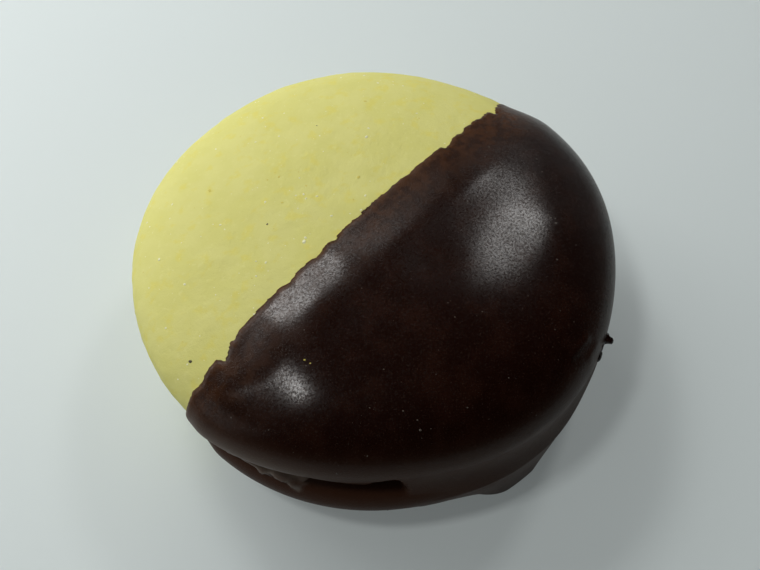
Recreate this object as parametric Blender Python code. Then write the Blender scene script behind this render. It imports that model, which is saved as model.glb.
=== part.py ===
"""Lemon sandwich cookie, half dipped in dark chocolate, lying on its lower dome.

Two domed lemon cookies lie flat face to flat face, with lemon cream squeezed between them. One side
is dipped: a coat of chocolate wraps both rims and lines the groove between them. Further round it
packs the groove, then hangs from the upper rim as a drape, then closes the groove with a skirt that
ends below in a small foot. X runs along the edge of the dip, the chocolate is on the -Y side, +Z is
up, and the origin is the middle of the base.
"""

import math

import bmesh
import bpy
from mathutils import Vector

MM = 0.001

# One cookie, crown up: its dome rises from its widest line, and its rim lies below that line
UPPER_RADIUS = 24.0 * MM
LOWER_RADIUS = 22.6 * MM
DOME_HEIGHT = 6.4 * MM
DOME_FULLNESS = 2.2
RIM_HEIGHT = 1.5 * MM
RIM_INSET = 1.1 * MM

# What lies between and over the cookies
GAP = 2.8 * MM
CREAM_RADIUS = 21.5 * MM
CREAM_BULGE = 0.5 * MM
COAT = 0.8 * MM
LIP_COAT = 0.62 * MM
CLEARANCE = 0.3 * MM
BASE_CUT = 0.25 * MM
BASE_FLAT = 0.05 * MM

# The edge of the dip: how far past the middle it lies, and its wavy line
DIP_Y = 0.9 * MM
DIP_WAVES = (
    (46.0 * MM, 0.12 * MM, 3.4),
    (17.0 * MM, 0.07 * MM, 1.0),
    (4.3 * MM, 0.14 * MM, 2.1),
    (2.3 * MM, 0.10 * MM, 5.0),
)

# Unevenness of each outline: waves around it, their share of the radius, and where one peaks
UPPER_WAVES = ((2, 0.0076, -9), (3, 0.0054, 42), (4, 0.0066, -11), (5, 0.0080, -24))
LOWER_WAVES = ((1, 0.060, 238), (3, 0.004, 215), (4, 0.003, 20))
CREAM_WAVES = ((1, 0.012, 215), (7, 0.009, 10), (11, 0.010, 3))

# Soft swellings and hollows of the wet coat: place, reach and height
COAT_LUMPS = (
    (-15.1, -1.0, 2.1, 0.14),
    (-17.2, -9.3, 3.7, 0.14),
    (6.4, -12.5, 3.8, -0.10),
    (-0.7, -7.7, 2.3, -0.15),
    (-10.7, -5.4, 2.4, -0.13),
    (11.1, -6.4, 3.7, -0.11),
    (-14.7, -4.9, 3.8, 0.08),
    (-5.3, -1.1, 2.3, 0.15),
    (2.5, -6.2, 4.6, -0.09),
    (-1.6, -13.2, 3.3, 0.09),
    (12.4, -14.0, 2.9, 0.14),
    (10.4, -2.0, 2.8, 0.09),
    (-21.0, -4.7, 3.2, -0.19),
    (6.7, -5.6, 4.0, -0.11),
    (-10.9, -2.7, 2.2, 0.11),
)

# Chocolate that packs the groove on one side, and the drape of the upper rim before the skirt, as
# angles about Z
PACKED_START = 186
PACKED_END = 206
PACKED_EASE = 2.5
PACKED_RADIUS = 24.1 * MM
DRAPE_START = 211
DRAPE_EASE = 5
DRAPE_RADIUS = 24.25 * MM
DRAPE_DROP = 0.5 * MM

# The skirt that closes the groove, and the foot at its middle, as angles about Z
SKIRT_START = 231
SKIRT_END = 322
SKIRT_EASE = 5
SKIRT_RADIUS = 24.7 * MM
SKIRT_SAG = 0.4 * MM
SKIRT_TAPER = 3
SKIRT_BULGE = 0.5 * MM
FOOT_ANGLE = 255
FOOT_SPREAD = 14
FOOT_EASE = 9
FOOT_RADIUS = 24.3 * MM
FOOT_START = 1.35 * MM

# Torn bits of chocolate at the rim: angle, height over the upper widest line, size
NUBS = ((288, -0.3 * MM, 0.55 * MM), (284, -1.3 * MM, 0.5 * MM))
NUB_ROUGHNESS = 0.22

SIDES = 60
DOME_ROWS = 11
RIM_ROWS = 4
CREAM_ROWS = 4

LOWER_LEVEL = DOME_HEIGHT + COAT - BASE_CUT
LOWER_FACE = LOWER_LEVEL + RIM_HEIGHT
UPPER_FACE = LOWER_FACE + GAP
UPPER_LEVEL = UPPER_FACE + RIM_HEIGHT


def clear_scene():
    for obj in list(bpy.data.objects):
        bpy.data.objects.remove(obj, do_unlink=True)


def material(name, colour, roughness):
    """A plain Principled finish in linear colour."""
    made = bpy.data.materials.new(name)
    made.use_nodes = True
    shader = made.node_tree.nodes["Principled BSDF"]
    shader.inputs["Base Color"].default_value = (*colour, 1)
    shader.inputs["Roughness"].default_value = roughness
    shader.inputs["Metallic"].default_value = 0
    return made


def smoothstep(low, high, value):
    share = min(max((value - low) / (high - low), 0), 1)
    return share * share * (3 - 2 * share)


def mix(first, second, share):
    return first + (second - first) * share


def unevenness(waves):
    """The share by which an outline departs from a circle, as a function of the angle."""
    return lambda angle: sum(
        size * math.cos(count * (angle - math.radians(peak))) for count, size, peak in waves
    )


upper_plan = unevenness(UPPER_WAVES)
lower_plan = unevenness(LOWER_WAVES)
cream_plan = unevenness(CREAM_WAVES)


def cookie_rows(widest, grow, lip):
    """Radius and height of each ring from the crown to the flat face, heights from the widest line.

    The dome is a superellipse and the rim a quarter ellipse. grow swells both outwards, and lip
    swells the flat face.
    """
    rows = []
    for step in range(1, DOME_ROWS + 1):
        turn = math.radians(90) * step / DOME_ROWS
        out = math.sin(turn) ** (2 / DOME_FULLNESS)
        rise = max(math.cos(turn), 0) ** (2 / DOME_FULLNESS)
        rows.append(((widest + grow) * out, (DOME_HEIGHT + grow) * rise))
    for step in range(1, RIM_ROWS + 1):
        turn = math.radians(90) * step / RIM_ROWS
        out = (RIM_INSET + grow) * math.cos(turn)
        rows.append((widest - RIM_INSET + out, -(RIM_HEIGHT + lip) * math.sin(turn)))
    return rows


def upper_rows(grow=0.0, lip=0.0):
    rows = cookie_rows(UPPER_RADIUS, grow, lip)
    return [(radius, UPPER_LEVEL + height, upper_plan) for radius, height in rows]


def lower_rows(grow=0.0, lip=0.0):
    """A cookie turned over, from its flat face down to its crown."""
    rows = cookie_rows(LOWER_RADIUS, grow, lip)
    return [(radius, LOWER_LEVEL - height, lower_plan) for radius, height in reversed(rows)]


def cream_rows(grow, lift):
    """Rings of the cream's bulging side from top to bottom. lift moves its two faces apart."""
    rows = []
    for step in range(CREAM_ROWS + 1):
        share = step / CREAM_ROWS
        bulge = CREAM_BULGE * math.sin(math.pi * share)
        height = mix(UPPER_FACE + lift, LOWER_FACE - lift, share)
        rows.append((CREAM_RADIUS + grow + bulge, height, cream_plan))
    return rows


def body_from_rows(rows):
    """Closed mesh through level rings, given from the top one to the bottom one."""
    bm = bmesh.new()
    rings = []
    for radius, height, plan in rows:
        ring = []
        for side in range(SIDES):
            angle = math.tau * side / SIDES
            reach = radius * (1 + plan(angle))
            ring.append(bm.verts.new((reach * math.cos(angle), reach * math.sin(angle), height)))
        rings.append(ring)
    for above, below in zip(rings, rings[1:]):
        for side in range(SIDES):
            after = (side + 1) % SIDES
            bm.faces.new((above[side], below[side], below[after], above[after]))
    ends = [bm.faces.new(rings[0]), bm.faces.new(rings[-1][::-1])]
    bmesh.ops.poke(bm, faces=ends)
    bmesh.ops.triangulate(bm, faces=bm.faces[:])
    return bm


def add_object(name, bm, finish=None):
    mesh = bpy.data.meshes.new(name)
    bm.to_mesh(mesh)
    bm.free()
    mesh.shade_smooth()
    mesh.set_sharp_from_angle(angle=math.radians(50))
    obj = bpy.data.objects.new(name, mesh)
    bpy.context.scene.collection.objects.link(obj)
    if finish:
        mesh.materials.append(finish)
    return obj


def add_helper(name, bm):
    """A shape that only cuts or joins another one."""
    obj = add_object(name, bm)
    obj.hide_render = True
    obj.display_type = "WIRE"
    return obj


def coat_lumps(x, y):
    """How much the wet coat swells over a point of the plan."""
    rise = 0.0
    for at_x, at_y, reach, height in COAT_LUMPS:
        apart = math.hypot(x / MM - at_x, y / MM - at_y) / reach
        rise += height * MM * math.exp(-apart * apart)
    return rise


def groove_lined(radius, angle, height):
    """Radius and height of a point of the coat, where it packs the groove or drapes from the upper rim."""
    degrees = math.degrees(angle) % 360
    top = UPPER_FACE - LIP_COAT
    bottom = LOWER_FACE + LIP_COAT
    opened = min(max((height - bottom) / (top - bottom), 0), 1)
    under = min((UPPER_LEVEL - height) / (UPPER_LEVEL - top), 1)
    drape = smoothstep(DRAPE_START - DRAPE_EASE, DRAPE_START + DRAPE_EASE, degrees)
    drape *= 1 - smoothstep(SKIRT_START, SKIRT_START + SKIRT_EASE, degrees)
    hanging = drape * smoothstep(0.8, 1, opened)
    radius = mix(radius, max(radius, DRAPE_RADIUS), hanging)
    packed = smoothstep(PACKED_START - PACKED_EASE, PACKED_START + PACKED_EASE, degrees)
    packed *= 1 - smoothstep(PACKED_END - PACKED_EASE, PACKED_END + PACKED_EASE, degrees)
    if LOWER_LEVEL < height < UPPER_LEVEL:
        radius = mix(radius, max(radius, PACKED_RADIUS), packed)
    return radius, height - DRAPE_DROP * drape * under * opened


def skirt_strength(angle):
    """0 where the groove is open, 1 where the skirt closes it."""
    begun = smoothstep(SKIRT_START - SKIRT_EASE / 2, SKIRT_START + SKIRT_EASE / 2, angle)
    ended = smoothstep(SKIRT_END - SKIRT_EASE, SKIRT_END + SKIRT_EASE, angle)
    return begun * (1 - ended)


def foot_strength(angle):
    return 1 - smoothstep(FOOT_SPREAD - FOOT_EASE, FOOT_SPREAD + FOOT_EASE, abs(angle - FOOT_ANGLE))


def skirted(radius, angle, height):
    """Radius and height of a point of the coat, moved out to the skirt and its foot where they are."""
    degrees = math.degrees(angle) % 360
    closed = skirt_strength(degrees)
    foot = foot_strength(degrees)
    widest = SKIRT_RADIUS + SKIRT_BULGE * foot
    if height > LOWER_LEVEL:
        upper_rim = (UPPER_RADIUS + COAT) * (1 + upper_plan(angle))
        share = (height - LOWER_LEVEL) / (UPPER_LEVEL - LOWER_LEVEL)
        curtain = mix(widest, upper_rim, share) - SKIRT_SAG * math.sin(math.pi * share)
        return mix(radius, max(radius, curtain), closed), height
    if height < FOOT_START:
        return radius, height
    share = (height - FOOT_START) / (LOWER_LEVEL - FOOT_START)
    wall = mix(FOOT_RADIUS, widest, share)
    filled = max(foot, closed * share ** SKIRT_TAPER)
    return mix(radius, max(radius, wall), filled), mix(height, LOWER_LEVEL * share, foot)


def coat_body():
    """The whole sandwich as thick chocolate would wrap it, before it is cut to the dipped side.

    What lies lower than BASE_FLAT is pressed flat, as chocolate that set on a level tray.
    """
    wall = cream_rows(COAT, -COAT)
    bm = body_from_rows(upper_rows(COAT, LIP_COAT) + wall[1:-1] + lower_rows(COAT, LIP_COAT))
    for vert in bm.verts:
        x, y, height = vert.co
        if height > UPPER_LEVEL:
            vert.co.z += coat_lumps(x, y)
            continue
        angle = math.atan2(y, x)
        radius, height = groove_lined(math.hypot(x, y), angle, height)
        radius, height = skirted(radius, angle, height)
        if height < BASE_FLAT:
            height = 0
        vert.co = (radius * math.cos(angle), radius * math.sin(angle), height)
    return add_object("chocolate_coat", bm, CHOCOLATE)


def add_nubs(coat):
    """Joins the torn bits of chocolate to the rim of the coat."""
    bits = bpy.data.collections.new("torn_bits")
    bpy.context.scene.collection.children.link(bits)
    for number, (degrees, height, size) in enumerate(NUBS):
        angle = math.radians(degrees)
        reach = (UPPER_RADIUS + COAT) * (1 + upper_plan(angle)) - size / 2
        bm = bmesh.new()
        bmesh.ops.create_icosphere(bm, subdivisions=2, radius=size)
        for vert in bm.verts:
            ripple = math.sin(5100 * vert.co.x + number) * math.sin(6300 * vert.co.z + 2 * number)
            vert.co *= 1 + NUB_ROUGHNESS * ripple
            vert.co += Vector((reach * math.cos(angle), reach * math.sin(angle), UPPER_LEVEL + height))
        nub = add_helper(f"torn_bit_{number}", bm)
        bpy.context.scene.collection.objects.unlink(nub)
        bits.objects.link(nub)
    join = coat.modifiers.new("join_bits", "BOOLEAN")
    join.operation = "UNION"
    join.operand_type = "COLLECTION"
    join.collection = bits
    join.solver = "EXACT"
    bpy.context.view_layer.objects.active = coat
    bpy.ops.object.modifier_apply(modifier=join.name)
    for nub in list(bits.objects):
        bpy.data.objects.remove(nub, do_unlink=True)
    bpy.data.collections.remove(bits)


def dip_edge(x):
    """Where the chocolate ends, as y over x: the level of the bath, with a ragged line."""
    ripple = sum(
        size * math.sin(math.tau * x / length + phase) for length, size, phase in DIP_WAVES
    )
    return DIP_Y + ripple


def dip_space():
    """A block that holds all that went into the chocolate, its +Y face along the ragged edge."""
    side = UPPER_RADIUS * 1.3
    step = 0.9 * MM
    count = round(2 * side / step)
    xs = [-side + 2 * side * number / count for number in range(count + 1)]
    outline = [(x, dip_edge(x)) for x in xs] + [(side, -side), (-side, -side)]
    bm = bmesh.new()
    floor = bm.faces.new([bm.verts.new((x, y, -DOME_HEIGHT)) for x, y in reversed(outline)])
    grown = bmesh.ops.extrude_face_region(bm, geom=[floor])
    raised = [item for item in grown["geom"] if isinstance(item, bmesh.types.BMVert)]
    bmesh.ops.translate(bm, verts=raised, vec=(0, 0, 6 * DOME_HEIGHT))
    bmesh.ops.recalc_face_normals(bm, faces=bm.faces)
    return add_helper("dip_space", bm)


def cut(obj, tool, operation):
    modifier = obj.modifiers.new(f"{operation.lower()}_{tool.name}", "BOOLEAN")
    modifier.operation = operation
    modifier.object = tool
    modifier.solver = "EXACT"


def chocolate_coat():
    coat = coat_body()
    add_nubs(coat)
    cut(coat, dip_space(), "INTERSECT")
    rooms = {
        "upper_room": upper_rows(CLEARANCE, CLEARANCE),
        "lower_room": lower_rows(CLEARANCE, CLEARANCE),
        "cream_room": cream_rows(CLEARANCE, CLEARANCE),
    }
    for name, rows in rooms.items():
        cut(coat, add_helper(name, body_from_rows(rows)), "DIFFERENCE")
    return coat


def centre_on_origin(objects):
    """Moves everything sideways so that the middle of the whole box is over the origin."""
    bpy.context.view_layer.update()
    graph = bpy.context.evaluated_depsgraph_get()
    corners = []
    for obj in objects:
        shown = obj.evaluated_get(graph)
        corners += [shown.matrix_world @ Vector(corner) for corner in shown.bound_box]
    middle = [
        (min(corner[axis] for corner in corners) + max(corner[axis] for corner in corners)) / 2
        for axis in (0, 1)
    ]
    for obj in bpy.data.objects:
        obj.location.x -= middle[0]
        obj.location.y -= middle[1]


clear_scene()
LEMON = material("lemon_biscuit", (0.78, 0.67, 0.23), 0.75)
CREAM = material("lemon_cream", (0.86, 0.79, 0.46), 0.55)
CHOCOLATE = material("dark_chocolate", (0.030, 0.013, 0.008), 0.35)
cookies = [
    add_object("upper_cookie", body_from_rows(upper_rows()), LEMON),
    add_object("lower_cookie", body_from_rows(lower_rows()), LEMON),
]
cream = add_object("lemon_cream", body_from_rows(cream_rows(0.0, -CLEARANCE)), CREAM)
coat = chocolate_coat()
centre_on_origin([*cookies, cream, coat])
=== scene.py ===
import math

import bpy
import numpy as np
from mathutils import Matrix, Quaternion, Vector
from mathutils.bvhtree import BVHTree


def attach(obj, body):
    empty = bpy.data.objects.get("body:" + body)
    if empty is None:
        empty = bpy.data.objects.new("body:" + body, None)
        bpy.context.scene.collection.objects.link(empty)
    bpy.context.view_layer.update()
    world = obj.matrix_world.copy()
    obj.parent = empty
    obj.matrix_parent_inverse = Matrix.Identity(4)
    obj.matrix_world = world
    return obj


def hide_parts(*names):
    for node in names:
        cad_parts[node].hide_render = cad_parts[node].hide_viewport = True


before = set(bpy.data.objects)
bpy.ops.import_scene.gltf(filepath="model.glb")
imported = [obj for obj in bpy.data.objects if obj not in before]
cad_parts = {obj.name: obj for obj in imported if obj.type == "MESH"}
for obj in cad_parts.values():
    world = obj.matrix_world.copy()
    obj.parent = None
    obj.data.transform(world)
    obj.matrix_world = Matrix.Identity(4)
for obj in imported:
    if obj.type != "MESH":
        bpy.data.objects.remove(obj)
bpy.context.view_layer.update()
mm = 0.001

# Both cookies have this outline: a dome, a rounded rim and a flat face
cookie = {
    "axis": (0.178 * mm, 0.675 * mm),
    "upperRadius": 24.0 * mm,
    "lowerRadius": 22.6 * mm,
    "domeHeight": 6.4 * mm,
    "fullness": 2.2,
    "rimHeight": 1.5 * mm,
    "rimInset": 1.1 * mm,
    "upperLevel": 12.75 * mm,
    "lowerLevel": 6.95 * mm,
    "upperWaves": ((2, 0.0076, -9), (3, 0.0054, 42), (4, 0.0066, -11), (5, 0.0080, -24)),
    "lowerWaves": ((1, 0.060, 238), (3, 0.004, 215), (4, 0.003, 20)),
    "relief": ((5.0 * mm, 0.16 * mm), (1.3 * mm, 0.07 * mm)),  # size and strength of the uneven surface
}
upperFace = cookie["upperLevel"] - cookie["rimHeight"]
lowerFace = cookie["lowerLevel"] + cookie["rimHeight"]

cream = {
    "radius": 21.5 * mm,
    "bulge": 0.5 * mm,
    "waves": ((1, 0.012, 215), (7, 0.009, 10), (11, 0.010, 3)),
    "clear": 0.05 * mm,  # between the cream and each flat face
    "relief": (2.2 * mm, 0.5 * mm),
}


# Small helpers for shapes

def smooth(low, high, value):
    share = np.clip((value - low) / (high - low), 0, 1)
    return share * share * (3 - 2 * share)


def mix(first, second, share):
    return first + (second - first) * share


def waves(angle, table):  # share of the radius by which an outline leaves the circle
    return sum(size * np.cos(count * (angle - math.radians(peak))) for count, size, peak in table)


def deselectAll():
    if bpy.context.mode != "OBJECT":
        bpy.ops.object.mode_set(mode="OBJECT")
    bpy.ops.object.select_all(action="DESELECT")


def pick(piece):  # the only selected and active object
    deselectAll()
    piece.select_set(True)
    bpy.context.view_layer.objects.active = piece


def faceOutward(piece):
    pick(piece)
    bpy.ops.object.mode_set(mode="EDIT")
    bpy.ops.mesh.select_all(action="SELECT")
    bpy.ops.mesh.normals_make_consistent(inside=False)
    bpy.ops.object.mode_set(mode="OBJECT")


def lathe(name, stations, steps, finer):
    # A coarse ball of plain steps, whose points a shape function then moves into place.
    # "along" keeps where on the outline each point lies.
    reach = 20  # of the ball, in mm
    deselectAll()
    bpy.ops.mesh.primitive_plane_add(size=1 * mm)
    piece = bpy.context.object
    piece.name = name
    bpy.ops.object.mode_set(mode="EDIT")
    bpy.ops.mesh.select_all(action="SELECT")
    bpy.ops.mesh.merge(type="CENTER")
    last = len(stations) - 1
    turns = [math.pi * number / last for number in range(last + 1)]
    outline = [(math.sin(turn), math.cos(turn)) for turn in turns]
    bpy.ops.transform.translate(value=(outline[0][0] * reach * mm, 0, outline[0][1] * reach * mm))
    for before, after in zip(outline, outline[1:]):
        move = ((after[0] - before[0]) * reach * mm, 0, (after[1] - before[1]) * reach * mm)
        bpy.ops.mesh.extrude_region_move(TRANSFORM_OT_translate={"value": move})
    bpy.ops.object.mode_set(mode="OBJECT")
    heights = [point.co.z for point in piece.data.vertices]  # these tell the order of the points
    along = np.empty(len(heights), np.float32)
    along[np.argsort(heights)[::-1]] = stations
    piece.data.attributes.new("along", "FLOAT", "POINT").data.foreach_set("value", along)
    bpy.ops.object.mode_set(mode="EDIT")
    bpy.ops.mesh.select_all(action="SELECT")
    bpy.ops.mesh.spin(steps=steps, angle=math.tau, center=(0, 0, 0), axis=(0, 0, 1))
    bpy.ops.mesh.select_all(action="SELECT")
    bpy.ops.mesh.remove_doubles(threshold=0.001 * mm)
    bpy.ops.mesh.normals_make_consistent(inside=False)
    bpy.ops.object.mode_set(mode="OBJECT")
    if finer:
        refine = piece.modifiers.new("finer", "SUBSURF")
        refine.subdivision_type = "SIMPLE"
        refine.levels = refine.render_levels = finer
        bpy.ops.object.modifier_apply(modifier=refine.name)
    return piece


def readPlaces(piece):
    places = np.empty(len(piece.data.vertices) * 3, np.float32)
    piece.data.vertices.foreach_get("co", places)
    return places.reshape(-1, 3).astype(float)


def readPoints(piece):  # angle about the axis and station of every point
    places = readPlaces(piece)
    along = np.empty(len(places), np.float32)
    piece.data.attributes["along"].data.foreach_get("value", along)
    return np.arctan2(places[:, 1], places[:, 0]), along.astype(float)


def movePoints(piece, places):
    piece.data.vertices.foreach_set("co", places.astype(np.float32).ravel())
    piece.data.update()


def aboutAxis(radius, angle, height):
    x = cookie["axis"][0] + radius * np.cos(angle)
    y = cookie["axis"][1] + radius * np.sin(angle)
    return np.stack([x, y, height], axis=1)


def relief(piece, size, strength, depth=2):  # pushes the surface along its normals by soft clouds
    clouds = bpy.data.textures.new(piece.name + "Clouds", "CLOUDS")
    clouds.noise_scale = size
    clouds.noise_depth = depth
    push = piece.modifiers.new("relief", "DISPLACE")
    push.texture = clouds
    push.texture_coords = "LOCAL"
    push.strength = strength
    pick(piece)
    bpy.ops.object.modifier_apply(modifier=push.name)


def smoothShade(piece):
    pick(piece)
    bpy.ops.object.shade_smooth()


# Small helpers for materials

class Term:  # a socket that can be used in sums
    def __init__(self, finish, socket):
        self.finish = finish
        self.socket = socket

    def sum(self, operation, first, second):
        return self.finish.node("ShaderNodeMath", {"operation": operation}, {0: first, 1: second})

    def __add__(self, other):
        return self.sum("ADD", self, other)

    def __radd__(self, other):
        return self.sum("ADD", other, self)

    def __sub__(self, other):
        return self.sum("SUBTRACT", self, other)

    def __rsub__(self, other):
        return self.sum("SUBTRACT", other, self)

    def __mul__(self, other):
        return self.sum("MULTIPLY", self, other)

    def __rmul__(self, other):
        return self.sum("MULTIPLY", other, self)


class Finish:  # a material or a world, and its nodes
    def __init__(self, holder, shader="Principled BSDF"):
        holder.use_nodes = True
        self.holder = holder
        self.tree = holder.node_tree
        self.shader = self.tree.nodes[shader]

    def feed(self, socket, value):
        if isinstance(value, Term):
            self.tree.links.new(value.socket, socket)
        else:
            socket.default_value = value

    def node(self, kind, settings, sockets, output=0):
        made = self.tree.nodes.new(kind)
        for name, value in settings.items():
            setattr(made, name, value)
        for name, value in sockets.items():
            self.feed(made.inputs[name], value)
        return Term(self, made.outputs[output])

    def places(self):
        return self.node("ShaderNodeTexCoord", {}, {}, "Object")

    def noise(self, size, detail=2.0, rough=0.5):
        sockets = {"Vector": self.places(), "Scale": 1 / size, "Detail": detail, "Roughness": rough}
        return self.node("ShaderNodeTexNoise", {}, sockets, "Fac")

    def share(self, name):  # a value kept on the points
        return self.node("ShaderNodeAttribute", {"attribute_name": name}, {}, "Fac")

    def band(self, value, low, high):  # 0 under low, 1 over high
        sockets = {"Value": value, "From Min": low, "From Max": high}
        return self.node("ShaderNodeMapRange", {"interpolation_type": "SMOOTHSTEP"}, sockets)

    def blend(self, share, first, second):  # between two colours, on the sockets that the node has for them
        return self.node("ShaderNodeMix", {"data_type": "RGBA"}, {0: share, 6: first, 7: second}, 2)

    def bump(self, height, strength, distance):
        sockets = {"Height": height, "Strength": strength, "Distance": distance}
        self.feed(self.shader.inputs["Normal"], self.node("ShaderNodeBump", {}, sockets))

    def put(self, **values):
        for name, value in values.items():
            self.feed(self.shader.inputs[name.replace("_", " ")], value)


def colour(red, green, blue):
    return (red, green, blue, 1)


# Lemon biscuit: matte yellow, softly mottled, fine grained

biscuit = {
    "body": colour(0.64, 0.615, 0.19),
    "pale": colour(0.68, 0.655, 0.24),
    "deep": colour(0.67, 0.605, 0.12),
    "mottleSize": 1.3 * mm,
    "flourSize": 0.5 * mm,
    "lumpSize": 0.7 * mm,
    "grainSize": 0.16 * mm,
    "grainDepth": 0.065 * mm,
}


def biscuitFinish():
    made = Finish(bpy.data.materials.new("lemonBiscuit"))
    wide = made.band(made.noise(biscuit["mottleSize"] * 3), 0.35, 0.65)
    spots = made.band(made.noise(biscuit["mottleSize"], 3), 0.52, 0.70)
    flour = made.band(made.noise(biscuit["flourSize"], 2), 0.58, 0.74)
    base = made.blend(wide * 0.5, biscuit["body"], biscuit["pale"])
    base = made.blend(spots * 0.6, base, biscuit["deep"])
    base = made.blend(flour * 0.6, base, biscuit["pale"])
    grain = made.noise(biscuit["grainSize"], 3, 0.6)
    lumps = made.noise(biscuit["lumpSize"], 2)
    made.put(Base_Color=base, Roughness=0.72 + 0.12 * grain, Specular_IOR_Level=0.35)
    made.bump(grain * 0.5 + lumps * 0.8, 0.8, biscuit["grainDepth"])
    return made.holder


# Lemon cream: paler and smoother than the biscuit

filling = {
    "body": colour(0.82, 0.74, 0.40),
    "pale": colour(0.88, 0.82, 0.52),
    "cloudSize": 1.2 * mm,
    "grainSize": 0.3 * mm,
    "grainDepth": 0.05 * mm,
}


def creamFinish():
    made = Finish(bpy.data.materials.new("lemonCream"))
    cloudy = made.band(made.noise(filling["cloudSize"], 3), 0.4, 0.65)
    base = made.blend(cloudy, filling["body"], filling["pale"])
    made.put(Base_Color=base, Roughness=0.5 + 0.1 * cloudy, Specular_IOR_Level=0.4)
    made.bump(made.noise(filling["grainSize"], 3), 0.5, filling["grainDepth"])
    return made.holder


# Dark chocolate: satin, nearly black, browner where the coat thins out at its edge

chocolate = {
    "thick": colour(0.0085, 0.0021, 0.0010),
    "bloom": colour(0.022, 0.007, 0.0035),
    "veil": colour(0.060, 0.022, 0.007),
    "rim": colour(0.042, 0.016, 0.008),
    "speck": colour(0.090, 0.060, 0.045),
    "film": colour(0.060, 0.021, 0.005),
    # painted light: a pale grey-brown for the left rim, and painted glints on the lumps in the groove
    "paintedLight": colour(0.135, 0.100, 0.080),
    "bloomSize": 2.6 * mm,
    "patchSize": 1.1 * mm,
    "speckSize": 0.13 * mm,
    "peelSize": 0.28 * mm,
    "pitSize": 0.12 * mm,
    "pitDepth": 0.032 * mm,
    "specular": 0.09,
    "specularTint": colour(1.0, 0.93, 0.85),
    "glossSize": 0.20 * mm,  # the grain of the glints
    "glossRoughness": 0.20,
    "glossLeast": 0.06,
    "glossMore": 0.38,
}


def chocolateFinish():
    made = Finish(bpy.data.materials.new("darkChocolate"))
    bloom = made.band(made.noise(chocolate["bloomSize"], 4), 0.42, 0.72)
    thin = made.share("thin")
    veil = made.share("veil")
    rim = made.share("rim")
    paintedLight = made.share("paintedLight")
    dull = made.share("dull")
    patches = made.band(made.noise(chocolate["patchSize"], 4, 0.6), 0.40, 0.62)
    specks = made.band(made.noise(chocolate["speckSize"], 1), 0.60, 0.78)
    base = made.blend(bloom * 0.45, chocolate["thick"], chocolate["bloom"])
    base = made.blend(veil * (0.35 + 0.65 * patches), base, chocolate["veil"])
    base = made.blend(rim, base, chocolate["rim"])
    base = made.blend(thin * (0.5 + 0.5 * patches), base, chocolate["film"])
    base = made.blend(specks * 0.22, base, chocolate["speck"])
    # painted light on the left rim and painted glints on the lumps in the groove
    base = made.blend(paintedLight, base, chocolate["paintedLight"])
    gloss = made.band(made.noise(chocolate["glossSize"], 3, 0.7), 0.38, 0.64)
    coating = (1 - rim) * (1 - dull) * (chocolate["glossLeast"] + chocolate["glossMore"] * gloss)
    peel = made.noise(chocolate["peelSize"], 2)
    pits = made.band(made.noise(chocolate["pitSize"], 1), 0.52, 0.74)
    made.put(Base_Color=base, Roughness=0.16 + 0.05 * peel + 0.05 * bloom + 0.25 * rim + 0.10 * thin)
    made.put(Specular_IOR_Level=chocolate["specular"], Specular_Tint=chocolate["specularTint"])
    made.put(Coat_Weight=coating, Coat_Roughness=chocolate["glossRoughness"], Coat_IOR=1.5)
    made.bump(peel * 0.5 + pits * 0.35, 1.0, chocolate["pitDepth"])
    return made.holder


lemonBiscuit = biscuitFinish()
lemonCream = creamFinish()
darkChocolate = chocolateFinish()
print("finishes ready")


# The two cookies

def cookieOutline(along, widest, grow, lip):
    # 0 to 1 the dome from its crown, to 2 the rim, to 3 the flat face. Heights from the widest line.
    fullness = 2 / cookie["fullness"]
    turn = np.clip(along, 0, 1) * math.pi / 2
    radius = (widest + grow) * np.sin(turn) ** fullness
    height = (cookie["domeHeight"] + grow) * np.maximum(np.cos(turn), 0) ** fullness
    turn = np.clip(along - 1, 0, 1) * math.pi / 2
    onRim = along > 1
    radius = np.where(onRim, widest - cookie["rimInset"] + (cookie["rimInset"] + grow) * np.cos(turn), radius)
    height = np.where(onRim, -(cookie["rimHeight"] + lip) * np.sin(turn), height)
    inward = 1 - np.clip(along - 2, 0, 1)
    return radius * np.where(along > 2, inward, 1), height


def cookieStations(dome, rim):
    return [*np.linspace(0, 1, dome, endpoint=False), *np.linspace(1, 2, rim, endpoint=False), 2.0, 2.3, 3.0]


def buildCookie(name, node, stations, steps, widest, level, turned, table):
    piece = lathe(name, stations, steps, 2)
    angle, along = readPoints(piece)
    radius, height = cookieOutline(along, widest, 0, 0)
    radius = radius * (1 + waves(angle, table))
    movePoints(piece, aboutAxis(radius, angle, level - height if turned else level + height))
    if turned:
        faceOutward(piece)
    for size, strength in cookie["relief"]:
        relief(piece, size, strength)
    smoothShade(piece)
    piece.data.materials.append(lemonBiscuit)
    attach(piece, "root")
    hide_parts(node)
    print(name, len(piece.data.polygons), "faces")
    return piece


upperCookie = buildCookie(
    "upperCookie", "upper_cookie", cookieStations(30, 6), 120,
    cookie["upperRadius"], cookie["upperLevel"], False, cookie["upperWaves"],
)
lowerCookie = buildCookie(
    "lowerCookie", "lower_cookie", cookieStations(20, 5), 90,
    cookie["lowerRadius"], cookie["lowerLevel"], True, cookie["lowerWaves"],
)


# The cream between them

def buildCream():
    stations = [0, 0.6, *np.linspace(1, 2, 9), 2.4, 3]
    piece = lathe("lemonCreamLayer", stations, 120, 2)
    angle, along = readPoints(piece)
    share = np.clip(along - 1, 0, 1)
    side = cream["radius"] + cream["bulge"] * np.sin(math.pi * share) ** 0.7
    inward = np.minimum(np.clip(along, 0, 1), np.clip(3 - along, 0, 1))
    radius = side * inward * (1 + waves(angle, cream["waves"]))
    height = mix(upperFace + cream["clear"], lowerFace - cream["clear"], share)
    movePoints(piece, aboutAxis(radius, angle, height))
    relief(piece, *cream["relief"])
    smoothShade(piece)
    piece.data.materials.append(lemonCream)
    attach(piece, "root")
    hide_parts("lemon_cream")
    print("cream", len(piece.data.polygons), "faces")
    return piece


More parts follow.
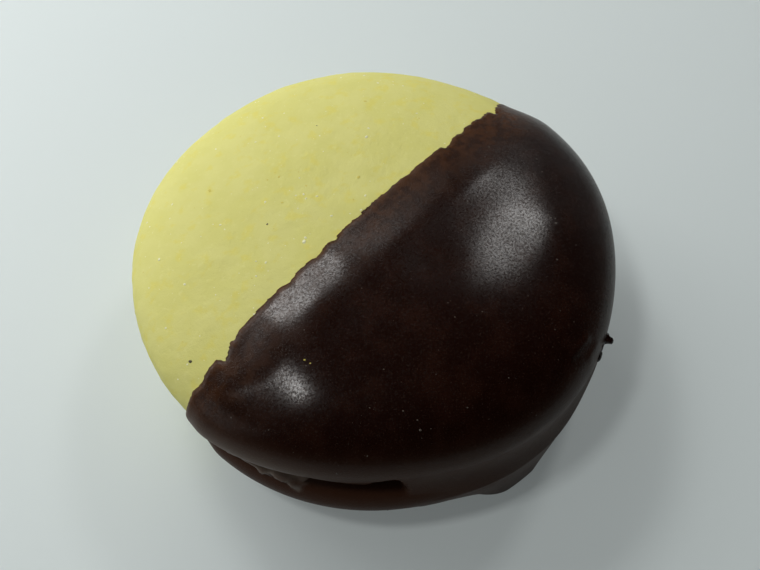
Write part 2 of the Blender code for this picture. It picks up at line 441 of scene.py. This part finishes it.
creamLayer = buildCream()


# The coat of chocolate

coat = {
    "thickness": 0.8 * mm,
    "lip": 0.62 * mm,
    "sunk": 0.35 * mm,  # how deep the coat goes under the biscuit past its edge
    "core": 0.65 * mm,  # how deep under the biscuit its inner side lies
    "cutAt": 3.4 * mm,  # y of the plane past the dip that ends it
    "swellEase": 0.8 * mm,  # from the edge to where the swellings are full
    "lumps": (  # soft swellings and hollows of the set chocolate: x, y, reach and height in mm
        (-14.9, -0.3, 2.1, 0.14), (-17.0, -8.6, 3.7, 0.14), (6.6, -11.8, 3.8, -0.10), (-0.5, -7.0, 2.3, -0.15),
        (-10.5, -4.7, 2.4, -0.13), (11.3, -5.7, 3.7, -0.11), (8.7, -14.5, 2.3, 0.07), (-14.5, -4.2, 3.8, 0.08),
        (-5.1, -0.4, 2.3, 0.15), (2.7, -5.5, 4.6, -0.09), (-1.4, -12.5, 3.3, 0.09), (12.6, -13.3, 2.9, 0.14),
        (3.6, -3.2, 4.5, -0.07), (10.6, -1.3, 2.8, 0.09), (-11.2, -10.1, 4.0, -0.03), (-20.8, -4.0, 3.2, -0.19),
        (6.9, -4.9, 4.0, -0.11), (-10.7, -2.0, 2.2, 0.11), (17.0, -6.8, 3.9, 0.04),
    ),
    "creases": (  # fine folds beside the torn bits, from one end to the other in mm
        ((2.0, -22.3), (4.9, -22.1)),
        ((3.7, -23.4), (5.6, -23.0)),
    ),
    "creaseWidth": 0.28,  # both in mm
    "creaseHeight": 0.12,
    "drapeStart": 211,  # from here the lip of the upper rim hangs lower, up to the skirt
    "drapeEase": 5,
    "drapeEnd": 224,
    "drapeEndEase": 4,
    "drapeRadius": 23.6 * mm,
    "drapeDrop": 1.0 * mm,
    "packedStart": 186,  # here chocolate packs the groove in lumps
    "packedEnd": 207.5,
    "packedEase": 1.8,
    "packedRadius": 23.6 * mm,
    "packedTop": 1.2 * mm,  # under the upper level
    "packedBottom": 1.0 * mm,  # over the lower level
    "packedLumps": (  # angle, and height, reach and size in mm
        (187.8, 9.6, 0.6, 0.75), (190.0, 9.8, 0.6, 0.65), (192.4, 9.7, 0.6, 0.60), (194.6, 9.7, 0.6, 0.60),
        (197.0, 9.3, 0.65, 0.95), (198.6, 8.5, 0.5, 0.50), (200.3, 9.4, 0.6, 0.85), (202.2, 9.2, 0.5, 0.75),
        (203.8, 8.6, 0.55, 0.85), (205.4, 8.1, 0.55, 0.70), (206.8, 9.0, 0.6, 0.50),
    ),
    "skirtStart": 226.2,  # angle at the upper cookie's level
    "skirtSlant": 0.8,  # degrees for each mm down
    "skirtEnd": 322,
    "skirtEndEase": 5,
    "skirtEase": 0.6,
    "skirtRadius": 24.7 * mm,
    "skirtSag": 0.4 * mm,
    "skirtTaper": 3,
    "skirtBulge": 0.5 * mm,
    "footRise": (226, 256),  # angles between which the foot comes out
    "footFall": (263, 284),  # and goes back
    "footRadius": 24.5 * mm,
    "footStart": 1.35 * mm,
}

# The edge of the dip, y over x in mm, with its nicks: place, reach to the left and right, depth
dip = {
    "level": 1.66,
    "slow": ((46.0, 0.12, 3.4), (17.0, 0.07, 1.0)),
    "fine": ((1.35, 0.035, 0.4), (0.74, 0.03, 2.0), (0.41, 0.02, 4.4)),
    "nicks": (
        (-22.8, 0.5, 0.5, 0.30), (-20.25, 0.12, 1.1, 0.90), (-18.2, 0.2, 0.4, 0.15), (-10.8, 0.35, 0.9, 0.28),
        (-6.6, 0.7, 0.5, 0.32), (-4.3, 0.35, 0.5, 0.36), (-0.85, 0.4, 0.5, 0.20), (3.6, 0.7, 0.5, 0.10),
        (6.9, 0.5, 0.5, 0.18), (12.15, 0.13, 1.5, 0.58), (15.35, 0.5, 0.5, 0.38), (17.1, 0.25, 0.25, 0.12),
        (19.0, 0.35, 0.4, 0.24), (20.8, 0.1, 0.8, 0.60),
    ),
    "endRise": (21.0, 24.5, 0.9),  # from x to x at the right end, and how far
}

# The thickness of the coat near that edge, in mm: along it, at both of its ends and over the left rim
edge = {
    "ends": (12, 23),  # from here to here the edge turns into its ends
    "corner": (-18.0, -24.5),  # and from here to here into the left rim
    "bead": (0.22, 0.12, 0.5),
    "beadReach": (0.90, 0.60),
    "fullFrom": 0.2,
    "fullAt": (6.0, 2.6),  # along it, over the left rim
    "dive": 1.6,  # how steeply it goes under the biscuit
}

# Where the chocolate looks different: from where it starts to where it is full, or the other way round
wear = {
    "ends": (10 * mm, 22 * mm),  # from the middle towards both ends of the edge
    "left": (218, 196),  # angles
    "lumps": (0.40 * mm, 0.90 * mm),  # how far a lump stands out
    # how strongly painted glints lie on the lumps in the groove
    "lumpPaintedGlint": 0.8,
    # heights between which painted light makes the left rim paler
    "paintedLightTop": (15.5 * mm, 10.5 * mm),  # heights
    "paintedLightBottom": (8.6 * mm, 9.4 * mm),
    "rim": (16.5 * mm, 12 * mm),
    "thin": (0.1 * mm, 1.1 * mm),  # distances from the edge
    "veilReach": (6.0, 8.0),  # in mm, along the edge and at its ends
    "veil": (0.7, 1.0),
    "veilLeft": 0.5,
    "dullSide": (-6.0 * mm, 2.0 * mm),  # x
    "dullReach": (1.5 * mm, 6.0 * mm),
    "dull": (0.6, 0.8),  # at the thin edge, and beside it on the right
}


def ripple(x, table):
    return sum(size * np.sin(math.tau * x / length + phase) for length, size, phase in table)


def bathLevel(x):  # the edge without its nicks
    x = x / mm
    start, end, rise = dip["endRise"]
    return (dip["level"] + ripple(x, dip["slow"]) + rise * smooth(start, end, x)) * mm


def dipEdge(x):
    nicks = ripple(x / mm, dip["fine"])
    for place, left, right, depth in dip["nicks"]:
        apart = (x / mm - place) / np.where(x / mm < place, left, right)
        nicks -= depth * np.exp(-apart * apart)
    return bathLevel(x) + nicks * mm


def coatOutline(along, angle, grow, lip):
    # 0 to 2 over the upper cookie, to 3 the wall of the groove, to 5 around the lower cookie to its crown
    upperPlan = waves(angle, cookie["upperWaves"])
    creamPlan = waves(angle, cream["waves"])
    lowerPlan = waves(angle, cookie["lowerWaves"])
    upperOut, upperHeight = cookieOutline(np.minimum(along, 2), cookie["upperRadius"], grow, lip)
    lowerOut, lowerHeight = cookieOutline(np.minimum(5 - along, 2), cookie["lowerRadius"], grow, lip)
    share = np.clip(along - 2, 0, 1)
    wallOut = (cream["radius"] + grow + cream["bulge"] * np.sin(math.pi * share)) * (1 + creamPlan)
    upperOut = upperOut * (1 + upperPlan)
    clear = np.where(along < 4, (cream["radius"] + grow) * (1 + creamPlan), 0)
    lowerOut = np.maximum(lowerOut * (1 + lowerPlan), clear)  # so the groove's wall stands clear of the cream
    ease = 0.35 if grow > 0 else 0.09  # where it is dry the whole turn stays inside the biscuit
    inner = mix(upperOut, wallOut, smooth(0, ease, share))
    inner = mix(inner, lowerOut, smooth(1 - ease, 1, share))
    radius = np.where(along < 2, upperOut, np.where(along > 3, lowerOut, inner))
    top = cookie["upperLevel"] + upperHeight
    bottom = cookie["lowerLevel"] - lowerHeight
    height = np.where(along < 2, top, np.where(along > 3, bottom, mix(upperFace - lip, lowerFace + lip, share)))
    return radius, height


def span(degrees, start, end, startEase, endEase):
    begun = smooth(start - startEase, start + startEase, degrees)
    return begun * (1 - smooth(end - endEase, end + endEase, degrees))


def packing(degrees, height):  # how far each lump stands out
    out = np.zeros_like(height)
    for at, level, reach, size in coat["packedLumps"]:
        apart = np.hypot(np.radians(degrees - at) * coat["packedRadius"], height - level * mm) / (reach * mm)
        out += size * mm * np.exp(-apart * apart)
    return out


def rimRadius(angle):  # of the coat over the upper cookie
    return (cookie["upperRadius"] + coat["thickness"]) * (1 + waves(angle, cookie["upperWaves"]))


def lined(radius, angle, height):
    # Hangs the lip of the upper rim lower beside the skirt, and packs the groove with lumps on its other side
    degrees = np.degrees(angle) % 360
    lipLevel = upperFace - coat["lip"]
    grooveLevel = lowerFace + coat["lip"]
    drape = span(degrees, coat["drapeStart"], coat["drapeEnd"], coat["drapeEase"], coat["drapeEndEase"])
    share = np.clip((cookie["upperLevel"] - height) / (cookie["upperLevel"] - lipLevel), 0, 1)
    above = np.clip((height - grooveLevel) / (lipLevel - grooveLevel), 0, 1)
    hanging = drape * smooth(0.8, 1, above) * (share > 0)
    packed = span(degrees, coat["packedStart"], coat["packedEnd"], coat["packedEase"], coat["packedEase"])
    fill = coat["packedRadius"] + packing(degrees, height)
    underTop = height < cookie["upperLevel"] - coat["packedTop"]
    inGroove = underTop & (height > cookie["lowerLevel"] + coat["packedBottom"])
    radius = mix(radius, np.maximum(radius, coat["drapeRadius"]), hanging)
    radius = mix(radius, np.maximum(radius, fill), packed * inGroove)
    return radius, height - coat["drapeDrop"] * drape * share * above


def skirted(radius, angle, height):
    # Moves the wet coat out to the skirt that closes the groove, and to the foot under it
    degrees = np.degrees(angle) % 360
    begins = coat["skirtStart"] + coat["skirtSlant"] * (cookie["upperLevel"] - height) / mm
    closed = span(degrees, begins, coat["skirtEnd"], coat["skirtEase"], coat["skirtEndEase"])
    foot = smooth(*coat["footRise"], degrees) * (1 - smooth(*coat["footFall"], degrees))
    widest = coat["skirtRadius"] + coat["skirtBulge"] * foot
    upperRim = rimRadius(angle)
    share = (height - cookie["lowerLevel"]) / (cookie["upperLevel"] - cookie["lowerLevel"])
    curtain = mix(widest, upperRim, share) - coat["skirtSag"] * np.sin(math.pi * np.clip(share, 0, 1))
    above = mix(radius, np.maximum(radius, curtain), closed)
    down = np.clip((height - coat["footStart"]) / (cookie["lowerLevel"] - coat["footStart"]), 0, 1)
    filled = np.maximum(foot, closed * down ** coat["skirtTaper"])
    below = mix(radius, np.maximum(radius, mix(coat["footRadius"], widest, down)), filled)
    between = (height >= coat["footStart"]) & (height <= cookie["lowerLevel"])
    outward = np.where(between, below, radius)
    outward = np.where(height > cookie["lowerLevel"], above, outward)
    outward = np.where(height > cookie["upperLevel"], radius, outward)
    return outward, np.where(between, mix(height, cookie["lowerLevel"] * down, foot), height)


def swelling(x, y):
    rise = np.zeros_like(x)
    for atX, atY, reach, height in coat["lumps"]:
        apart = np.hypot(x / mm - atX, y / mm - atY) / reach
        rise += height * mm * np.exp(-apart * apart)
    for start, end in coat["creases"]:
        way = np.array(end) - start
        fromX, fromY = x / mm - start[0], y / mm - start[1]
        share = np.clip((fromX * way[0] + fromY * way[1]) / (way @ way), 0, 1)
        apart = np.hypot(fromX - share * way[0], fromY - share * way[1]) / coat["creaseWidth"]
        rise += coat["creaseHeight"] * mm * np.exp(-apart * apart)
    return rise


def coatThickness(x, y):
    # Of the wet chocolate over the biscuit: a rolled edge along the nicks, then slowly up to the full coat
    inside = dipEdge(x) - y
    ends = smooth(edge["ends"][0] * mm, edge["ends"][1] * mm, np.abs(x))
    corner = smooth(edge["corner"][0] * mm, edge["corner"][1] * mm, x)  # here the coat is thick again
    middle, atEnds, atCorner = edge["bead"]
    rolled = mix(mix(middle, atEnds, ends), atCorner, corner) * mm
    reach = mix(*edge["beadReach"], ends) * mm
    bead = rolled * np.sqrt(1 - (1 - np.clip(inside / reach, 0, 1)) ** 2)
    fullAt = mix(*edge["fullAt"], corner) * mm
    full = mix(bead, coat["thickness"], smooth(edge["fullFrom"] * mm, fullAt, bathLevel(x) - y))
    return np.where(inside > 0, full, np.maximum(inside * edge["dive"], -coat["sunk"]))


def shapeCoat(piece):
    angle, along = readPoints(piece)
    radius, height = coatOutline(along, angle, coat["thickness"], coat["lip"])
    radius, height = lined(radius, angle, height)
    radius, height = skirted(radius, angle, height)
    wet = aboutAxis(radius, angle, height)
    onTop = height > cookie["upperLevel"]
    radius, height = coatOutline(along, angle, -coat["sunk"], -coat["sunk"])
    dry = aboutAxis(radius, angle, height)
    level = (coatThickness(wet[:, 0], wet[:, 1]) + coat["sunk"]) / (coat["thickness"] + coat["sunk"])
    shaped = mix(dry, wet, level[:, None])
    inside = bathLevel(wet[:, 0]) - wet[:, 1]
    shaped[:, 2] += swelling(wet[:, 0], wet[:, 1]) * smooth(0, coat["swellEase"], inside) * onTop
    shaped[:, 2] = np.maximum(shaped[:, 2], 0)
    movePoints(piece, shaped)


def buildCore():
    stations = [*np.linspace(0, 1, 14, endpoint=False), *np.linspace(1, 4, 16), *np.linspace(4, 5, 15)[1:]]
    piece = lathe("coatCore", stations, 90, 0)
    angle, along = readPoints(piece)
    radius, height = coatOutline(along, angle, -coat["core"], -coat["core"])
    movePoints(piece, aboutAxis(radius, angle, height))
    return piece


def endPastDip(piece):
    pick(piece)
    bpy.ops.object.mode_set(mode="EDIT")
    bpy.ops.mesh.select_all(action="SELECT")
    bpy.ops.mesh.bisect(plane_co=(0, coat["cutAt"], 0), plane_no=(0, 1, 0), use_fill=True, clear_outer=True)
    bpy.ops.object.mode_set(mode="OBJECT")


def hollowOut(piece):
    core = buildCore()
    hollow = piece.modifiers.new("hollow", "BOOLEAN")
    hollow.operation = "DIFFERENCE"
    hollow.object = core
    hollow.solver = "MANIFOLD"
    pick(piece)
    bpy.ops.object.modifier_apply(modifier=hollow.name)
    bpy.data.objects.remove(core, do_unlink=True)


def keepShares(piece):
    # The chocolate is browner near its edge and duller on the rims; painted light makes the left rim paler, and
    # painted glints the lumps in the groove
    places = readPlaces(piece)
    x, y, height = places.T
    inside = dipEdge(x) - y
    ends = smooth(*wear["ends"], np.abs(x))
    degrees = np.degrees(np.arctan2(y - cookie["axis"][1], x - cookie["axis"][0])) % 360
    # painted glints on the lumps that stand out in the groove
    packed = wear["lumpPaintedGlint"] * smooth(*wear["lumps"], packing(degrees, height))
    left = smooth(*wear["left"], degrees) * (degrees > 90)
    # painted light along the left rim
    leftPaintedLight = left * smooth(*wear["paintedLightTop"], height) * smooth(*wear["paintedLightBottom"], height)
    thin = 1 - smooth(*wear["thin"], inside)
    veiled = 1 - smooth(0, mix(*wear["veilReach"], ends) * mm, inside)
    right = smooth(*wear["dullSide"], x) * (1 - smooth(*wear["dullReach"], inside))
    shares = {
        "thin": thin,
        "veil": mix(*wear["veil"], ends) * (1 - wear["veilLeft"] * left) * veiled,
        "rim": smooth(*wear["rim"], height) * (1 - packed),
        "paintedLight": np.maximum(packed, leftPaintedLight),
        "dull": np.maximum(wear["dull"][0] * thin, wear["dull"][1] * right),
    }
    for name, share in shares.items():
        kept = piece.data.attributes.new(name, "FLOAT", "POINT")
        kept.data.foreach_set("value", share.astype(np.float32))


def buildCoat():
    stations = [
        *np.linspace(0, 1, 26, endpoint=False), *np.linspace(1, 2, 5, endpoint=False),
        *np.linspace(2, 3, 5, endpoint=False), *np.linspace(3, 4, 5, endpoint=False), *np.linspace(4, 5, 16),
    ]
    piece = lathe("chocolateCoat", stations, 120, 2)
    shapeCoat(piece)
    print("coat shaped", len(piece.data.polygons), "faces")
    faceOutward(piece)
    endPastDip(piece)
    hollowOut(piece)
    keepShares(piece)
    smoothShade(piece)
    piece.data.materials.clear()
    piece.data.materials.append(darkChocolate)
    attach(piece, "root")
    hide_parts("chocolate_coat")
    print("coat", len(piece.data.polygons), "faces")
    return piece


chocolateCoat = buildCoat()


# Bits of chocolate torn up at the rim

torn = {
    # angle, then in mm: height, how deep it sits, half sizes outwards, along the rim and up, length of the hook
    "bits": (
        (287.2, 12.95, 0.75, (1.00, 0.90, 0.85), 0.75),
        (285.0, 13.00, 0.55, (0.70, 1.20, 0.60), 0.0),
        (282.8, 12.70, 0.50, (0.85, 0.75, 0.75), 0.0),
    ),
    "hookSide": 0.7,  # a face that looks outwards more than this grows into the hook
    "hookSteps": ((0.6, 0), (0.4, -0.12)),  # share of its length, and way up in mm
    "hookTaper": 0.6,
    "lumpSize": 0.35 * mm,
    "ruggedness": 0.16 * mm,
}


def buildTornBit(degrees, height, sunk, half, hook):
    deselectAll()
    bpy.ops.mesh.primitive_ico_sphere_add(subdivisions=2, radius=1 * mm)
    bit = bpy.context.object
    bit.name = "tornBit"
    bpy.ops.object.mode_set(mode="EDIT")
    bpy.ops.mesh.select_all(action="SELECT")
    bpy.ops.transform.resize(value=half, center_override=(0, 0, 0))
    if hook:
        bpy.ops.mesh.select_all(action="DESELECT")
        bpy.ops.object.mode_set(mode="OBJECT")
        for face in bit.data.polygons:
            face.select = face.normal.x > torn["hookSide"]
        bpy.ops.object.mode_set(mode="EDIT")
        for share, rise in torn["hookSteps"]:
            move = (hook * share * mm, 0, rise * mm)
            bpy.ops.mesh.extrude_region_move(TRANSFORM_OT_translate={"value": move})
            bpy.ops.transform.resize(value=(torn["hookTaper"],) * 3)
    bpy.ops.mesh.select_all(action="SELECT")
    angle = math.radians(degrees)
    out = rimRadius(angle) - sunk * mm
    x = cookie["axis"][0] + out * math.cos(angle)
    y = cookie["axis"][1] + out * math.sin(angle)
    bpy.ops.transform.rotate(value=-angle, orient_axis="Z", center_override=(0, 0, 0))
    bpy.ops.transform.translate(value=(x, y, height * mm))
    bpy.ops.mesh.normals_make_consistent(inside=False)
    bpy.ops.object.mode_set(mode="OBJECT")
    refine = bit.modifiers.new("finer", "SUBSURF")
    refine.levels = refine.render_levels = 2
    bpy.ops.object.modifier_apply(modifier=refine.name)
    relief(bit, torn["lumpSize"], torn["ruggedness"] * 2, 1)
    return bit


def joined(name, pieces):
    deselectAll()
    for piece in pieces:
        piece.select_set(True)
    bpy.context.view_layer.objects.active = pieces[0]
    bpy.ops.object.transform_apply(location=True, rotation=True, scale=True)
    bpy.ops.object.join()
    pieces[0].name = name
    return pieces[0]


def buildTornBits():
    bits = joined("tornBits", [buildTornBit(*bit) for bit in torn["bits"]])
    smoothShade(bits)
    bits.data.materials.append(darkChocolate)
    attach(bits, "root")
    print("torn bits", len(bits.data.polygons), "faces")


buildTornBits()


# Grains that lie on the biscuit and on the chocolate

# Sizes are in mm, and "flat" and "sunk" are shares of them.
# "marks" are single grains that stand out, each with its x, y and size.
grains = {
    "sugar": {
        "on": "biscuit", "count": 230, "sizes": (0.08, 0.36), "flat": 0.5, "sunk": 0.15, "seed": 3,
        "tone": colour(0.82, 0.81, 0.52), "roughness": 0.5,
        "marks": (
            (-6.2, 3.5, 0.50), (-5.8, 3.7, 0.35), (-10.2, 4.7, 0.30), (7.6, 7.9, 0.45), (8.7, 8.6, 0.3),
            (-11.8, 4.4, 0.25),
        ),
    },
    "zest": {
        "on": "biscuit", "count": 40, "sizes": (0.15, 0.60), "flat": 0.3, "sunk": 0.12, "seed": 8,
        "tone": colour(0.62, 0.53, 0.09), "roughness": 0.6,
        "marks": ((-1.2, 8.0, 0.30), (-4.2, 8.4, 0.35), (-15.3, -5.2, 0.24), (-15.2, -5.8, 0.20)),
    },
    "dust": {
        "on": "chocolate", "count": 170, "sizes": (0.05, 0.16), "flat": 0.8, "sunk": 0.15, "seed": 5,
        "tone": colour(0.07, 0.056, 0.042), "roughness": 0.5,
        "marks": (
            (12.0, -12.2, 0.20), (11.9, -12.9, 0.26), (12.1, -11.8, 0.16), (12.3, -12.5, 0.16),
            (-12.9, -16.7, 0.22), (-12.5, -16.0, 0.15), (-19.9, -13.1, 0.18), (-12.8, -14.6, 0.16),
        ),
    },
    "speck": {
        "on": "biscuit", "count": 0, "sizes": (0.1, 0.2), "flat": 0.5, "sunk": 0.10, "seed": 1,
        "tone": colour(0.06, 0.05, 0.02), "roughness": 0.6,
        "marks": ((-6.95, 7.7, 0.22), (-21.4, 3.6, 0.36), (5.6, 13.0, 0.14)),
    },
}

scatter = {
    "fromAbove": 0.75,  # share of the grains, the rest come from the side
    "reach": 25,  # to each side of the middle, in mm
    "above": 40 * mm,
    "aside": 50 * mm,
    "sideHeights": (2, 17),  # in mm
    "fewLarge": 4,  # the higher, the fewer
}

crumb = {
    "bevel": 0.28 * mm,
    "narrow": 0.8,
    "rough": 0.10 * mm,
    "mottleSize": 0.2 * mm,
}

bpy.context.view_layer.update()
depsgraph = bpy.context.evaluated_depsgraph_get()
surfaces = [
    ("biscuit", BVHTree.FromObject(upperCookie, depsgraph)),
    ("biscuit", BVHTree.FromObject(lowerCookie, depsgraph)),
    ("cream", BVHTree.FromObject(creamLayer, depsgraph)),
    ("chocolate", BVHTree.FromObject(chocolateCoat, depsgraph)),
]


def grainFinish(kind):
    made = Finish(bpy.data.materials.new(kind + "Grain"))
    tone = grains[kind]["tone"]
    darker = colour(*[0.7 * part for part in tone[:3]])
    base = made.blend(made.noise(crumb["mottleSize"], 1) * 0.3, tone, darker)
    made.put(Base_Color=base, Roughness=grains[kind]["roughness"])
    return made.holder


def buildGrain(flat):  # a rough crumb, 1 mm wide
    deselectAll()
    bpy.ops.mesh.primitive_cube_add(size=1 * mm)
    grain = bpy.context.object
    bpy.ops.object.mode_set(mode="EDIT")
    bpy.ops.mesh.select_all(action="SELECT")
    bpy.ops.mesh.bevel(offset=crumb["bevel"], segments=1)
    bpy.ops.mesh.select_all(action="SELECT")
    bpy.ops.transform.resize(value=(1, crumb["narrow"], flat), center_override=(0, 0, 0))
    bpy.ops.transform.vertex_random(offset=crumb["rough"], seed=4)
    bpy.ops.mesh.normals_make_consistent(inside=False)
    bpy.ops.object.mode_set(mode="OBJECT")
    return grain


def outerPoint(start, way):
    # Where a line from outside meets the cookie: distance, kind of surface, place and normal
    hits = []
    for kind, tree in surfaces:
        place, normal, face, distance = tree.ray_cast(start, way)
        if place:
            hits.append((distance, kind, place, normal))
    return min(hits, key=lambda hit: hit[0], default=None)


def pointFromAbove(x, y):
    return outerPoint(Vector((x, y, scatter["above"])), Vector((0, 0, -1)))


def randomPoint(draw):
    if draw.random() < scatter["fromAbove"]:
        x, y = draw.uniform(-scatter["reach"], scatter["reach"], 2) * mm
        return pointFromAbove(x, y)
    turn = draw.uniform(0, math.tau)
    way = Vector((math.cos(turn), math.sin(turn), 0))
    height = draw.uniform(*scatter["sideHeights"]) * mm
    return outerPoint(way * scatter["aside"] + Vector((0, 0, height)), -way)


def layGrain(grain, point, size, sunk, turn):
    place, normal = point[2:]
    copy = grain.copy()
    copy.data = grain.data.copy()
    copy.location = place - normal * size * sunk * mm
    copy.rotation_euler = (normal.to_track_quat("Z", "Y") @ Quaternion((0, 0, 1), turn)).to_euler()
    copy.scale = (size, size, size)
    bpy.context.scene.collection.objects.link(copy)
    return copy


def scatterGrains(kind):
    look = grains[kind]
    draw = np.random.default_rng(look["seed"])
    grain = buildGrain(look["flat"])
    copies = []
    for x, y, size in look["marks"]:
        copies.append(layGrain(grain, pointFromAbove(x * mm, y * mm), size, look["sunk"], x))
    while len(copies) < look["count"]:
        point = randomPoint(draw)
        size = mix(*look["sizes"], draw.random() ** scatter["fewLarge"])
        turn = draw.uniform(0, math.tau)
        if point and point[1] == look["on"]:
            copies.append(layGrain(grain, point, size, look["sunk"], turn))
    bpy.data.objects.remove(grain, do_unlink=True)
    pile = joined(kind + "Grains", copies)
    pile.data.materials.append(grainFinish(kind))
    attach(pile, "root")
    print(kind, len(pile.data.polygons), "faces")


for kind in grains:
    scatterGrains(kind)


# Floor, light and camera

studio = {
    "floorSize": 1.6,
    "floor": colour(0.51, 0.56, 0.55),
    "floorPale": colour(0.54, 0.59, 0.58),
    "floorPatches": 30 * mm,
    "glowTone": colour(0.9, 1, 1),
    "floorGlow": 0.13,  # light that the whole pale table sends back up
    "brightSide": (0.30, 0.95, 0.0),  # the room's walls are brightest behind and to the left
    "darkRoom": colour(0.0, 0.0, 0.0),
    "lowRoom": colour(0.10, 0.09, 0.08),
    "brightRoom": colour(0.24, 0.24, 0.24),
    "lights": (  # name, place, size, power
        ("window", (0.0359, 0.2037, 0.1736), (0.28, 0.16), 0.329),
        ("windowLow", (-0.0558, 0.1533, 0.0761), (0.12, 0.08), 0.058),
        ("ceilingLeft", (0.031, 0.162, 0.216), (0.06, 0.05), 0.128),
        ("ceilingRight", (0.311, 0.041, 0.347), (0.07, 0.07), 0.285),
        ("overhead", (-0.165, 0.074, 0.435), (0.06, 0.06), 0.382),
        ("left", (-0.1493, 0.0544, 0.0845), (0.10, 0.08), 0.019),
        ("backRight", (0.1847, 0.0672, 0.1377), (0.10, 0.08), 0.014),
    ),
    "cameraPlace": (-44.51 * mm, -39.85 * mm, 99.75 * mm),
    "cameraAim": (-2.12 * mm, -2.50 * mm, 12.75 * mm),
    "lens": 49.45,
    "sensor": 36,
    "clip": 1 * mm,
}


def buildFloor():
    deselectAll()
    bpy.ops.mesh.primitive_plane_add(size=studio["floorSize"])
    floor = bpy.context.object
    floor.name = "floor"
    made = Finish(bpy.data.materials.new("paleFloor"))
    cloudy = made.noise(studio["floorPatches"], 2)
    made.put(Base_Color=made.blend(cloudy * 0.3, studio["floor"], studio["floorPale"]), Roughness=0.6)
    made.put(Emission_Color=studio["glowTone"], Emission_Strength=studio["floorGlow"])
    floor.data.materials.append(made.holder)


def lookAt(obj, place, aim):
    obj.location = place
    obj.rotation_euler = (Vector(aim) - Vector(place)).to_track_quat("-Z", "Y").to_euler()


def addSoftLight(name, place, aim, size, power):
    light = bpy.data.lights.new(name, "AREA")
    light.shape = "RECTANGLE"
    light.size, light.size_y = size
    light.energy = power
    lamp = bpy.data.objects.new(name, light)
    bpy.context.scene.collection.objects.link(lamp)
    lookAt(lamp, place, aim)


def buildRoom():
    room = Finish(bpy.data.worlds.new("paleRoom"), "Background")
    way = room.node("ShaderNodeTexCoord", {}, {}, "Generated")
    sides = {0: way, 1: studio["brightSide"]}
    facing = room.node("ShaderNodeVectorMath", {"operation": "DOT_PRODUCT"}, sides, "Value")
    height = room.node("ShaderNodeSeparateXYZ", {}, {0: way}, "Z")
    walls = room.band(facing, -0.5, 0.5) * (1 - room.band(height, 0.2, 0.7))
    front = room.blend(room.band(height, 0.0, 0.4), studio["lowRoom"], studio["darkRoom"])
    room.put(Color=room.blend(walls, front, studio["brightRoom"]))
    bpy.context.scene.world = room.holder


def addCamera():
    camera = bpy.data.objects.new("photoCamera", bpy.data.cameras.new("photoCamera"))
    camera.data.lens = studio["lens"]
    camera.data.sensor_width = studio["sensor"]
    camera.data.clip_start = studio["clip"]
    bpy.context.scene.collection.objects.link(camera)
    lookAt(camera, studio["cameraPlace"], studio["cameraAim"])
    bpy.context.scene.camera = camera


buildFloor()
for name, place, size, power in studio["lights"]:
    addSoftLight(name, place, (0, 0, 0), size, power)
buildRoom()
addCamera()
bpy.context.scene.view_settings.view_transform = "Standard"
print("studio ready")
